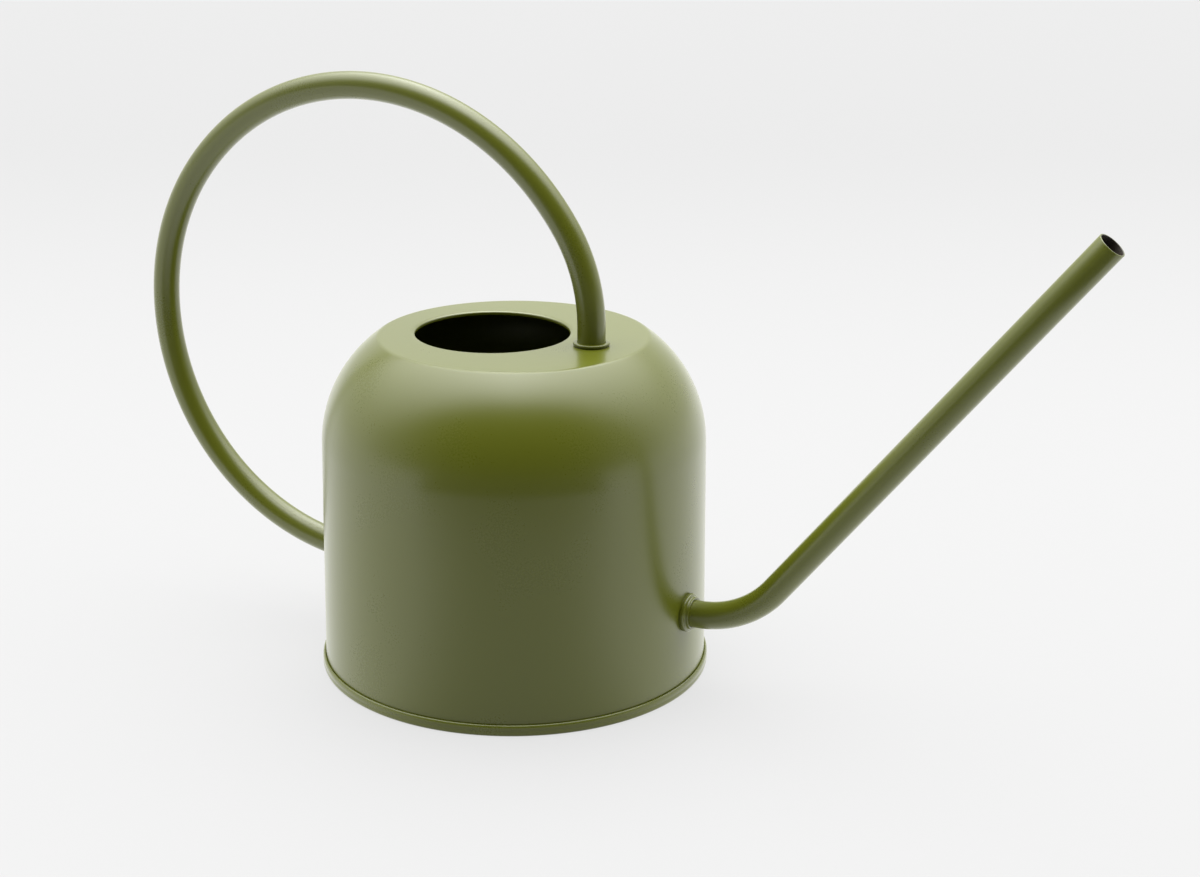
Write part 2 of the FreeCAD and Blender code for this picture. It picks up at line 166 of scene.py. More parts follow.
class CanFinish(PropertyGroup):
    coat: colour("Coat", "Colour of the coat", (0.080, 0.091, 0.0060))
    coat_deep: colour("Deep coat", "Colour where the coat is thicker", (0.074, 0.084, 0.0048))
    # Painted shade: near-black brown laid on the spout's inner wall in place of the shade inside the tube.
    bore_shade: colour("Bore", "Colour of the darkened steel inside the spout", (0.012, 0.008, 0.003))
    gloss: share("Roughness", "Roughness of the coat", 0.28)
    peel: share("Orange peel", "Strength of the coat's orange peel", 0.04)
    floor: colour("Floor", "Colour of the floor", (0.065, 0.065, 0.065))
    table: amount("Table", "Brightness of the table's own light", 0.675)
    table_far: share("Table far off", "Share of that light left far behind the can", 0.86)
    fade_from: length("Fade from", "Distance behind the can where that loss begins", 0.15)
    fade_to: length("Fade to", "Distance behind the can where it is complete", 1.2)
    front_half: turn("Front", "Half the angle that counts as in front of the can", 53.13)
    table_push: amount("Table on the can", "How much more of it the can gets", 2.1)
    table_front: amount("Table in front", "The same, in front of the can", 1.05)


class CanStage(PropertyGroup):
    around: turn("Around", "Camera's angle round the can, from the front", 29.2)
    distance: length("Distance", "Camera's distance from the can's axis", 0.7659)
    height: length("Height", "Camera's height", 0.3414)
    aim: FloatVectorProperty(name="Aim", description="Point the camera looks at", default=(0.0369, 0, 0.0955),
                             subtype="XYZ", unit="LENGTH")
    roll: turn("Roll", "Camera's roll", 0.46)
    lens: amount("Lens", "Focal length in millimetres", 62.55, least=1.0)
    floor: length("Floor", "Radius of the floor", 6.0)
    # Painted shade in reflections: the near-black sheet in front of the can starts at this distance and
    # covers the angle below.
    shade_sheet: length("Apron", "Distance where the black apron starts", 0.36)
    shade_sheet_half: turn("Apron half angle", "Half the angle it covers", 50)
    roof: amount("Roof", "Brightness of the tent's roof", 8.1)
    roof_spread: amount("Roof spread", "How far the roof's light spreads", 0.85, least=0.01)
    roof_front: FloatVectorProperty(name="Roof's front", size=2, default=(0.66, 0.10),
                                    description="Where it fades out forwards and is full, per unit of height")
    roof_back: FloatVectorProperty(name="Roof's back", size=2, default=(-1.7, -0.7),
                                   description="Where it fades out backwards and is full, per unit of height")
    seen_air: amount("Seen air", "Brightness of the air behind the floor", 0.87)


GROUPS = {"can_tank": CanTank, "can_base": CanBase, "can_spout": CanSpout, "can_handle": CanHandle,
          "can_collars": CanCollars, "can_finish": CanFinish, "can_stage": CanStage}


# ---------------------------------------------------------------- drawing and spinning

def deselect():
    bpy.ops.object.select_all(action="DESELECT")


def open_mesh(piece):
    deselect()
    bpy.context.view_layer.objects.active = piece
    piece.select_set(True)
    bpy.ops.object.mode_set(mode="EDIT")


def close_mesh():
    bpy.ops.object.mode_set(mode="OBJECT")


def pick(piece, kind, test):
    """Selects the vertices, edges or faces of an open mesh whose middle passes the test."""
    bpy.ops.mesh.select_mode(type={"vertices": "VERT", "edges": "EDGE", "polygons": "FACE"}[kind])
    bpy.ops.mesh.select_all(action="DESELECT")
    bpy.ops.object.mode_set(mode="OBJECT")
    mesh = piece.data
    for item in getattr(mesh, kind):
        if kind == "vertices":
            middle = item.co
        else:
            corners = [mesh.vertices[index].co for index in item.vertices]
            middle = sum(corners, Vector()) / len(corners)
        item.select = bool(test(middle, item))
    bpy.ops.object.mode_set(mode="EDIT")


def arc(centre, radius, start, end, steps):
    """Points of an arc in a profile, from one angle to another in degrees."""
    found = []
    for step in range(steps + 1):
        angle = math.radians(start + (end - start) * step / steps)
        found.append((centre[0] + radius * math.cos(angle), centre[1] + radius * math.sin(angle)))
    return found


def draw_line(points):
    """Draws an open line in the current mesh by extruding one point along it."""
    bpy.ops.mesh.primitive_plane_add(size=0.001, location=points[0])
    bpy.ops.mesh.merge(type="CENTER")
    for before, point in zip(points, points[1:]):
        step = Vector(point) - Vector(before)
        bpy.ops.mesh.extrude_vertices_move(TRANSFORM_OT_translate={"value": step})


def start_piece(name):
    """A new piece with an empty mesh, open for drawing."""
    deselect()
    bpy.ops.mesh.primitive_plane_add(size=0.001)
    piece = bpy.context.active_object
    piece.name = name
    piece.data.name = name
    bpy.ops.object.mode_set(mode="EDIT")
    bpy.ops.mesh.select_mode(type="VERT")
    bpy.ops.mesh.delete(type="VERT")
    return piece


def spin_profile(profile, steps, axis_at=Vector(), axis=UP, place=None):
    """Draws a profile of (radius, along) pairs and spins it once round the axis."""
    place = place or (lambda radius, along: Vector(axis_at) + Vector((radius, 0, along)))
    draw_line([place(radius, along) for radius, along in profile])
    bpy.ops.mesh.select_linked()
    bpy.ops.mesh.spin(steps=steps, angle=2 * math.pi, center=axis_at, axis=axis, use_auto_merge=True)


def tidy_mesh(inside=False):
    bpy.ops.mesh.select_all(action="SELECT")
    bpy.ops.mesh.remove_doubles(threshold=2e-6)
    bpy.ops.mesh.normals_make_consistent(inside=inside)


def thicken(piece, thickness):
    """Gives a sheet its thickness on the inside of its drawn face."""
    solid = piece.modifiers.new("sheet", "SOLIDIFY")
    solid.thickness = thickness
    solid.offset = -1
    solid.use_even_offset = True
    solid.use_quality_normals = True
    bpy.ops.object.modifier_apply(modifier=solid.name)


def finish_piece(piece, node, coat, sharp=32):
    """Smooths a piece, coats it, and puts it on the frame in the place of a CAD node."""
    deselect()
    bpy.context.view_layer.objects.active = piece
    piece.select_set(True)
    bpy.ops.object.transform_apply(location=True, rotation=True, scale=True)
    bpy.ops.object.shade_smooth_by_angle(angle=math.radians(sharp))
    piece.data.materials.clear()
    piece.data.materials.append(coat)
    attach(piece, BODY)
    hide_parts(node)


# ---------------------------------------------------------------- shader maths

class Wire:
    """One socket in a node tree, on which Python's arithmetic adds Math nodes."""

    def __init__(self, tree, socket):
        self.tree = tree
        self.socket = socket

    def maths(self, operation, first, second):
        return self.tree.node("ShaderNodeMath", {"operation": operation}, {0: first, 1: second})

    def __add__(self, other):
        return self.maths("ADD", self, other)

    def __sub__(self, other):
        return self.maths("SUBTRACT", self, other)

    def __rsub__(self, other):
        return self.maths("SUBTRACT", other, self)

    def __mul__(self, other):
        return self.maths("MULTIPLY", self, other)

    def __truediv__(self, other):
        return self.maths("DIVIDE", self, other)

    def __abs__(self):
        return self.maths("ABSOLUTE", self, 0)

    def __pow__(self, other):
        return self.maths("POWER", self, other)

    def __rpow__(self, other):
        return self.maths("POWER", other, self)

    __radd__ = __add__
    __rmul__ = __mul__


class Recipe:
    """A material, or the studio's air, being mixed."""

    def __init__(self, name, made=None):
        self.made = made or bpy.data.materials.new(name)
        self.made.use_nodes = True
        self.nodes = self.made.node_tree.nodes
        self.links = self.made.node_tree.links
        self.nodes.clear()

    def node(self, kind, settings=None, sockets=None, output=0):
        """Adds a node, sets it up, feeds its sockets and returns one of its outputs."""
        made = self.nodes.new(kind)
        for name, value in (settings or {}).items():
            if name == "stops":
                ramp = made.color_ramp
                while len(ramp.elements) < len(value):
                    ramp.elements.new(1)
                for element, (place, shade) in zip(ramp.elements, value):
                    element.position = place
                    element.color = (*shade, 1)
            else:
                setattr(made, name, value)
        for name, value in (sockets or {}).items():
            self.feed(made.inputs[name], value)
        return Wire(self, made.outputs[output]) if len(made.outputs) else None

    def feed(self, socket, value):
        if isinstance(value, Wire):
            self.links.new(value.socket, socket)
        elif hasattr(value, "__len__") and len(value) == 3 and socket.type == "RGBA":
            socket.default_value = (*value, 1)
        else:
            socket.default_value = value

    def maths_max(self, first, second):
        return self.node("ShaderNodeMath", {"operation": "MAXIMUM"}, {0: first, 1: second})

    def mix(self, share_of_second, first, second):
        sockets = {"Factor": share_of_second, "A": first, "B": second}
        made = self.nodes.new("ShaderNodeMix")
        made.data_type = "RGBA"
        for name, value in sockets.items():
            kind = "VALUE" if name == "Factor" else "RGBA"
            socket = next(s for s in made.inputs if s.name == name and s.type == kind)
            self.feed(socket, value)
        return Wire(self, next(s for s in made.outputs if s.type == "RGBA"))

    def place(self):
        return self.node("ShaderNodeTexCoord", output=3)

    def vectors(self, operation, first, second=(0, 0, 0), number=False):
        """Vector maths: its vector, or its number for a dot product or a length."""
        return self.node("ShaderNodeVectorMath", {"operation": operation}, {0: first, 1: second}, int(number))

    def step(self, value, start, end, soft=False):
        """Runs from 0 to 1 while the value goes from start to end."""
        settings = {"interpolation_type": "SMOOTHSTEP"} if soft else None
        return self.node("ShaderNodeMapRange", settings, {"Value": value, "From Min": start, "From Max": end})

    def noise(self, scale, detail=2.0, roughness=0.5, at=None):
        sockets = {"Vector": at or self.place(), "Scale": scale, "Detail": detail, "Roughness": roughness}
        return self.node("ShaderNodeTexNoise", {"noise_dimensions": "3D"}, sockets)

    def surface(self, **sockets):
        """The finished surface. Names are the shader's own sockets with _ for spaces."""
        named = {name.replace("_", " "): value for name, value in sockets.items()}
        shader = self.node("ShaderNodeBsdfPrincipled", None, named)
        self.node("ShaderNodeOutputMaterial", None, {"Surface": shader})
        return self.made


def coat_material(finish, name="olive_powder_coat", bore_shade_mask=None):
    """Satin powder coat: fine orange peel, a slight change of tone, and faint cloudiness in its gloss.

    The last argument takes the recipe and gives the share of painted shade: a near-black brown laid over the
    coat where shade falls inside the spout.
    """
    mixing = Recipe(name)
    cloud = mixing.noise(26, 3, 0.55)
    grain = mixing.noise(1500, 2, 0.6)
    peel = mixing.noise(430, 1.0, 0.5)
    tone = mixing.mix(cloud * 0.75 + grain * 0.25, finish.coat_deep, finish.coat)
    gloss = finish.gloss - 0.03 + cloud * 0.04 + grain * 0.02
    skin = mixing.node("ShaderNodeBump", None, {"Strength": finish.peel, "Distance": 0.0002, "Height": peel})
    if bore_shade_mask:
        # Painted shade inside the spout: near-black brown, lightly mottled, laid over the coat's tone and a
        # little rougher.
        bore_shade_share = bore_shade_mask(mixing)
        pale_bore_shade = tuple(1.6 * part for part in finish.bore_shade)
        tone = mixing.mix(bore_shade_share, tone, mixing.mix(grain, finish.bore_shade, pale_bore_shade))
        gloss = gloss + bore_shade_share * 0.2
    return mixing.surface(Base_Color=tone, Roughness=gloss, Normal=skin, IOR=1.5)


def braze_material():
    """Dull brazing metal with the ripples of a hand-fed rod."""
    mixing = Recipe("braze_metal")
    tarnish = mixing.noise(340, 3, 0.6)
    ripple = mixing.node("ShaderNodeTexWave", {"wave_type": "RINGS"},
                         {"Vector": mixing.place(), "Scale": 300, "Distortion": 3.0})
    tone = mixing.mix(tarnish, (0.42, 0.27, 0.10), (0.62, 0.47, 0.22))
    skin = mixing.node("ShaderNodeBump", None, {"Strength": 0.4, "Distance": 0.0003, "Height": ripple})
    return mixing.surface(Base_Color=tone, Metallic=1.0, Roughness=tarnish * 0.3 + 0.35, Normal=skin)


def sealant_material():
    """Matt sealing compound."""
    mixing = Recipe("seam_compound")
    lumps = mixing.noise(900, 3, 0.6)
    tone = mixing.mix(lumps, (0.03, 0.03, 0.032), (0.07, 0.07, 0.072))
    skin = mixing.node("ShaderNodeBump", None, {"Strength": 0.3, "Distance": 0.0002, "Height": lumps})
    return mixing.surface(Base_Color=tone, Roughness=lumps * 0.2 + 0.7, Normal=skin)


def floor_material(finish, back):
    """The light table's top: pale card, partly lit from below, and less so far behind the can."""
    mixing = Recipe("light_table")
    tooth = mixing.noise(90, 2, 0.5)
    dim = tuple(0.98 * part for part in finish.floor)
    tone = mixing.mix(tooth, dim, finish.floor)
    away = mixing.vectors("DOT_PRODUCT", mixing.place(), back, number=True)
    fade = mixing.step(away, finish.fade_from, finish.fade_to, soft=True)
    heading = mixing.vectors("NORMALIZE", mixing.place())
    behind = mixing.vectors("DOT_PRODUCT", heading, back, number=True)
    sides = mixing.step(behind, -1.0, -math.cos(finish.front_half), soft=True)
    push = mixing.mix(sides, (finish.table_front,) * 3, (finish.table_push,) * 3)
    ray = mixing.node("ShaderNodeLightPath")
    glow = mixing.mix(ray, push, mixing.mix(fade, (1, 1, 1), (finish.table_far,) * 3))
    return mixing.surface(Base_Color=tone, Roughness=0.9, Specular_IOR_Level=0.1, Emission_Color=glow,
                          Emission_Strength=finish.table)


def coat():
    return bpy.data.materials.get("olive_powder_coat") or coat_material(bpy.context.scene.can_finish)


# ---------------------------------------------------------------- profiles of the tank and its base

def shoulder_centre(tank):
    """Centre of the shoulder's arc: it touches the leaning wall and ends on the crease."""
    seam = bpy.context.scene.can_base.seam
    across = tank.wall - tank.crease
    up = tank.height - seam
    inset = tank.shoulder - (across * math.cos(tank.taper) - up * math.sin(tank.taper))
    along = math.sqrt(tank.shoulder ** 2 - inset ** 2)
    radius = tank.crease - inset * math.cos(tank.taper) + along * math.sin(tank.taper)
    height = tank.height - inset * math.sin(tank.taper) - along * math.cos(tank.taper)
    return radius, height


def tank_profile(tank):
    """The shell's outer face from its hook in the seam up to the edge of the flat top."""
    seam = bpy.context.scene.can_base.seam
    turn_z = 2.5 * tank.sheet
    centre = shoulder_centre(tank)
    lean = math.degrees(tank.taper)
    fall = math.degrees(math.asin((tank.height - centre[1]) / tank.shoulder))
    slope = 90 - fall
    setback = tank.crease_round * math.tan(math.radians(slope) / 2)
    shoulder_end = fall - math.degrees(setback / tank.shoulder)
    crease_centre = (tank.crease - setback, tank.height - tank.crease_round)
    points = [(tank.wall + tank.sheet, tank.hook)]
    points += arc((tank.wall + tank.sheet / 2, turn_z), tank.sheet / 2, 0, -180, 6)
    points += [(tank.wall, seam - 0.0006), (tank.wall, seam)]
    foot = arc(centre, tank.shoulder, lean, shoulder_end, 40)
    low_r, low_z = foot[0]
    for share_up in (0.04, 0.3, 0.6, 0.85):
        points.append((tank.wall + (low_r - tank.wall) * share_up, seam + (low_z - seam) * share_up))
    points += foot
    points += arc(crease_centre, tank.crease_round, fall, 90, 6)[1:]
    points.append((crease_centre[0] - 0.0004, tank.height))
    return points


def lip_start(tank):
    """Radius about the filler's own centre where the flat top starts to dip."""
    easy = tank.lip_flare * math.sin(tank.lip_slope)
    return tank.filler + tank.lip_round * (1 - math.sin(tank.lip_slope)) + easy


def lip_profile(tank):
    """The filler's lip: the top dips, then turns down through a tight bend."""
    outer = lip_start(tank)
    slope = math.degrees(tank.lip_slope)
    dip = tank.lip_flare * (1 - math.cos(tank.lip_slope))
    tight_z = tank.height - dip - tank.lip_round * math.cos(tank.lip_slope)
    points = [(outer + 0.0004, tank.height)]
    points += arc((outer, tank.height - tank.lip_flare), tank.lip_flare, 90, 90 + slope, 6)
    points += arc((tank.filler + tank.lip_round, tight_z), tank.lip_round, 90 + slope, 180, 10)[1:]
    points.append((tank.filler, tight_z - tank.lip_drop))
    return points


def base_profile(base, tank):
    """The base plate's outer face from its centre, through the seam's curl, to its hook."""
    sheet = tank.sheet
    chuck = tank.wall - 2 * sheet
    bend = 1.5 * sheet
    middle = base.seam * 0.46
    raised = base.recess + base.bead_rise
    flat_end = 0.012
    bend_round = 0.001
    points = [(0, raised), (base.bead - flat_end, raised)]
    points += arc((base.bead - base.bead_rise, raised - bend_round), bend_round, 90, 45, 4)
    points += arc((base.bead + base.bead_rise, base.recess + bend_round), bend_round, 225, 270, 4)
    points += arc((chuck - bend, base.recess - bend), bend, 90, 0, 5)
    points += arc((chuck + bend, bend), bend, 180, 270, 5)
    points += arc((base.outside - base.low_bend, base.low_bend), base.low_bend, 270, 360, 8)
    groove_half = 0.0006
    groove_bend = 0.00025
    groove_share = 0.6
    points += [(base.outside, middle - groove_half),
               (base.outside - base.groove * groove_share, middle - groove_bend),
               (base.outside - base.groove, middle),
               (base.outside - base.groove * groove_share, middle + groove_bend),
               (base.outside, middle + groove_half)]
    fold = arc((0, 0), 1, 0, 90, 8)
    points += [(base.outside - base.top_width + base.top_width * across, base.seam - base.top_bend
                + base.top_bend * up) for across, up in fold]
    crevice = base.outside - base.top_width - tank.wall
    points += arc((tank.wall + crevice, base.seam - crevice), crevice, 90, 180, 6)[1:]
    points.append((tank.wall, base.hook))
    return points


# ---------------------------------------------------------------- pieces

class CAN_OT_tank(Operator):
    """Spin the tank's shell, with its filler and turned-down lip"""
    bl_idname = "can.tank"
    bl_label = "Tank shell"

    def execute(self, context):
        tank = context.scene.can_tank
        piece = start_piece("tank_shell")
        spin_profile(tank_profile(tank), tank.steps)
        centre = Vector((-tank.filler_back, 0, 0))
        spin_profile(lip_profile(tank), tank.steps, axis_at=centre)
        tidy_mesh()
        lip_edge = lip_start(tank)

        def on_flat_rim(middle, edge):
            flat = middle.z > tank.height - 1e-5
            crease_rim = middle.xy.length < tank.crease and middle.xy.length > tank.crease - 0.004
            lip_rim = (middle - centre).xy.length > lip_edge + 0.0003
            a, b = (piece.data.vertices[index].co for index in edge.vertices)
            round_the_can = abs(a.xy.length - b.xy.length) < 1e-5
            round_the_lip = abs((a - centre).xy.length - (b - centre).xy.length) < 1e-5
            near_lip = (middle - centre).xy.length < lip_edge + 0.0005
            return flat and ((crease_rim and round_the_can and not near_lip and self.is_rim(piece, edge))
                             or (near_lip and lip_rim and round_the_lip and self.is_rim(piece, edge)))

        self.count_sides(piece)
        pick(piece, "edges", on_flat_rim)
        bpy.ops.mesh.bridge_edge_loops()
        tidy_mesh()
        close_mesh()
        thicken(piece, tank.sheet)
        finish_piece(piece, "body_shell", coat())
        return {"FINISHED"}

    def count_sides(self, piece):
        """Counts the faces on each edge, so that the open rims can be told."""
        bpy.ops.object.mode_set(mode="OBJECT")
        self.sides = {}
        for face in piece.data.polygons:
            for key in face.edge_keys:
                self.sides[key] = self.sides.get(key, 0) + 1
        bpy.ops.object.mode_set(mode="EDIT")

    def is_rim(self, piece, edge):
        return self.sides.get(tuple(sorted(edge.vertices)), 0) == 1


class CAN_OT_base(Operator):
    """Spin the base plate with its recess, pressed step and seam curl"""
    bl_idname = "can.base"
    bl_label = "Base plate"

    def execute(self, context):
        scene = context.scene
        piece = start_piece("base_plate_pressed")
        spin_profile(base_profile(scene.can_base, scene.can_tank), scene.can_tank.steps)
        tidy_mesh()
        close_mesh()
        thicken(piece, scene.can_tank.sheet)
        finish_piece(piece, "base_plate", coat())
        return {"FINISHED"}


def start_tube(name, radius, at, sides=72):
    """A new piece open at a ring of this radius, facing along X."""
    deselect()
    quarter = (0, math.pi / 2, 0)
    bpy.ops.mesh.primitive_circle_add(vertices=sides, radius=radius, location=at, rotation=quarter)
    piece = bpy.context.active_object
    piece.name = name
    piece.data.name = name
    bpy.ops.object.transform_apply(location=True, rotation=True, scale=True)
    bpy.ops.object.mode_set(mode="EDIT")
    bpy.ops.mesh.select_mode(type="VERT")
    bpy.ops.mesh.select_all(action="SELECT")
    return piece


def run_tube(step, pieces=1):
    """Extrudes the tube's end straight on."""
    for _ in range(pieces):
        bpy.ops.mesh.extrude_region_move(TRANSFORM_OT_translate={"value": Vector(step) / pieces})


def bend_tube(centre, angle, axis, steps):
    """Bends the tube's end round a centre, right-handed about the axis, which spin takes as left-handed."""
    bpy.ops.mesh.spin(steps=steps, angle=-angle, center=centre, axis=axis, use_auto_merge=False)


class CAN_OT_spout(Operator):
    """Bend the spout from its root, and run it to its square-cut outlet"""
    bl_idname = "can.spout"
    bl_label = "Spout"

    def execute(self, context):
        spout = context.scene.can_spout
        direction = Vector((math.cos(spout.slope), 0, math.sin(spout.slope)))
        outlet = Vector((SPOUT[1].x - spout.radius * math.sin(spout.slope), 0,
                         SPOUT[1].z - spout.radius * math.cos(spout.slope)))
        corner_x = outlet.x - (outlet.z - spout.level) / math.tan(spout.slope)
        setback = spout.bend * math.tan(spout.slope / 2)
        start = Vector((SPOUT[0].x, 0, spout.level))
        bend_start = Vector((corner_x - setback, 0, spout.level))
        bend_end = Vector((corner_x, 0, spout.level)) + direction * setback
        piece = start_tube("spout_bent", spout.radius, start)
        run_tube(bend_start - start, 2)
        bend_tube(bend_start + UP * spout.bend, spout.slope, (0, -1, 0), 28)
        run_tube(outlet - bend_end, 6)
        tidy_mesh()
        close_mesh()
        thicken(piece, spout.wall)
        open_mesh(piece)

        def on_outlet_rim(middle, edge):
            a, b = (piece.data.vertices[index].co for index in edge.vertices)
            return all(abs((end - outlet).dot(direction)) < 1e-5 for end in (a, b)) and not (
                abs((a - outlet).length - (b - outlet).length) > 1e-4)

        pick(piece, "edges", on_outlet_rim)
        bpy.ops.mesh.bevel(offset=spout.rim, segments=3, affect="EDGES", offset_type="OFFSET")
        close_mesh()

        def inside(mixing):
            """Mask of the painted shade: 1 on the straight run's inner wall, 0 on the outside, on the rim and
            in the bend.
            """
            step = mixing.vectors("SUBTRACT", mixing.place(), tuple(outlet))
            across = mixing.vectors("CROSS_PRODUCT", step, tuple(direction))
            reach = mixing.vectors("LENGTH", across, number=True)
            edge = spout.radius - spout.wall
            in_bore = mixing.step(reach, edge + 0.0003, edge + 0.0001)
            depth = mixing.vectors("DOT_PRODUCT", step, tuple(direction), number=True)
            straight = (outlet - bend_end).length
            in_run = mixing.step(depth, -0.9 * straight, -0.8 * straight)
            return in_bore * in_run

        # The spout's coat, with painted shade on the inner wall of its straight run.
        lined = coat_material(context.scene.can_finish, "olive_powder_coat_spout", inside)
        finish_piece(piece, "spout_tube", lined)
        return {"FINISHED"}


class CAN_OT_handle(Operator):
    """Bend the handle's loop from the back wall over to its foot on the flat top"""
    bl_idname = "can.handle"
    bl_label = "Handle"

    def execute(self, context):
        handle = context.scene.can_handle
        tank = context.scene.can_tank
        foot_x = HANDLE[1].x - handle.radius
        top_z = tank.height + handle.rise
        front = Vector((foot_x - handle.front, 0, top_z))
        across = -handle.setback - front.x
        below = math.sqrt((handle.top - handle.front) ** 2 - across ** 2)
        crown = Vector((-handle.setback, 0, top_z - below))
        drop = crown.z - handle.level - handle.rear
        rear = Vector((crown.x - math.sqrt((handle.top - handle.rear) ** 2 - drop ** 2), 0,
                       handle.level + handle.rear))
        seam = context.scene.can_base.seam
        wall_x = tank.wall - (handle.level - seam) * math.tan(tank.taper)
        to_rear = (rear - crown).normalized()
        to_front = (front - crown).normalized()
        rear_turn = math.pi / 2 + math.atan2(to_rear.z, -to_rear.x)
        front_turn = math.atan2(to_front.z, to_front.x)
        top_turn = 1.5 * math.pi - rear_turn - front_turn
        sideways = UP.cross((1, 0, 0))
        piece = start_tube("handle_loop", handle.radius, Vector((rear.x, 0, handle.level)))
        bend_tube(rear, rear_turn, sideways, 84)
        bend_tube(crown, top_turn, sideways, 60)
        bend_tube(front, front_turn, sideways, 48)
        run_tube((0, 0, -handle.rise - 0.0002))
        pick(piece, "polygons", lambda middle, face: middle.z < handle.level + 0.02 and middle.x < 0)
        bpy.ops.mesh.bisect(plane_co=(0.0003 - wall_x, 0, 0), plane_no=(1, 0, 0), clear_outer=True)
        tidy_mesh()
        close_mesh()
        thicken(piece, handle.wall)
        finish_piece(piece, "handle_tube", coat())
        return {"FINISHED"}


class CAN_OT_collars(Operator):
    """Turn the ring at the handle's foot and the two flanged collars on the wall"""
    bl_idname = "can.collars"
    bl_label = "Collars"

    def execute(self, context):
        scene = context.scene
        self.foot_ring(scene)
        self.wall_collar(scene, "spout_collar_turned", "spout_collar", 1, scene.can_spout)
        self.wall_collar(scene, "handle_root_collar_turned", "handle_root_collar", -1, scene.can_handle)
        return {"FINISHED"}

    def foot_ring(self, scene):
        collars = scene.can_collars
        inner = scene.can_handle.radius
        outer = collars.foot
        top = collars.foot_height
        edge = collars.rounding
        lap = 0.0001
        undercut = 0.0004
        standoff = round_in = 0.0003
        skirt = 0.0005
        profile = [(inner - lap, lap), (outer - undercut, lap), (outer - undercut, standoff)]
        profile += arc((outer - edge, standoff + edge), edge, -90, 0, 5)
        profile += arc((outer - edge, top - edge), edge, 0, 90, 6)
        profile += arc((inner + round_in, top - round_in), round_in, 90, 180, 4)
        profile += [(inner - lap, top - skirt)]
        profile.append(profile[0])
        foot = Vector((HANDLE[1].x - inner, 0, scene.can_tank.height))
        piece = start_piece("handle_foot_ring")
        spin_profile(profile, 96, axis_at=foot)
        tidy_mesh()
        close_mesh()
        finish_piece(piece, "handle_foot_collar", coat())

    def wall_collar(self, scene, name, node, side, tube):
        collars = scene.can_collars
        tank = scene.can_tank
        inner = tube.radius
        edge = collars.rounding
        flange = collars.flange_height
        tip = collars.neck_height
        lap = 0.0001
        undercut = 0.0003
        standoff = round_in = 0.0002
        skirt = 0.0004
        foot = collars.flange - undercut
        profile = [(inner - lap, -lap), (foot, -lap), (foot, standoff)]
        profile += arc((collars.flange - edge, standoff + edge), edge, -90, 0, 5)
        profile += arc((collars.flange - edge, flange - edge), edge, 0, 90, 6)
        profile += arc((collars.neck + edge, flange + edge), edge, 270, 180, 5)
        profile += arc((collars.neck - edge / 2, tip - edge / 2), edge / 2, 0, 90, 5)
        profile += arc((inner + round_in, tip - round_in), round_in, 90, 180, 4)
        profile.append((inner - lap, tip - skirt))
        profile.append(profile[0])
        seam = scene.can_base.seam
        wall_here = tank.wall - (tube.level - seam) * math.tan(tank.taper)
        centre = Vector((side * wall_here, 0, tube.level))
        piece = start_piece(name)
        spin_profile(profile, 96, axis_at=centre, axis=Vector((1, 0, 0)),
                     place=lambda radius, along: centre + Vector((side * along, 0, radius)))
        tidy_mesh()
        close_mesh()
        for vertex in piece.data.vertices:
            out = side * vertex.co.x - wall_here
            fade = max(0.0, 1.0 - max(out, 0.0) / tip)
            fall = wall_here - math.sqrt(wall_here ** 2 - vertex.co.y ** 2)
            lean = (vertex.co.z - tube.level) * math.tan(tank.taper)
            vertex.co.x -= side * (fall + lean) * fade
        finish_piece(piece, node, coat())


class CAN_OT_joints(Operator):
    """Finish the brazed fillets and the seam's sealing compound, which keep their frame shapes"""
    bl_idname = "can.joints"
    bl_label = "Brazing and sealant"

    def execute(self, context):
        metal = braze_material()
        for node in ("spout_braze", "handle_foot_braze", "handle_root_braze"):
            self.recoat(node, metal)
        self.recoat("seam_sealant", sealant_material())
        return {"FINISHED"}

    def recoat(self, node, material):
        piece = frame["nodes"][node]
        if not piece.material_slots:
            piece.data.materials.append(material)
        for place in piece.material_slots:
            place.material = material


# ---------------------------------------------------------------- stage

def aim_at(thing, target, roll=0.0):
    """Turns a camera or a light to look at a point."""
    facing = (Vector(target) - thing.location).to_track_quat("-Z", "Y").to_matrix()
    thing.rotation_euler = (facing @ Matrix.Rotation(roll, 3, "Z")).to_euler()


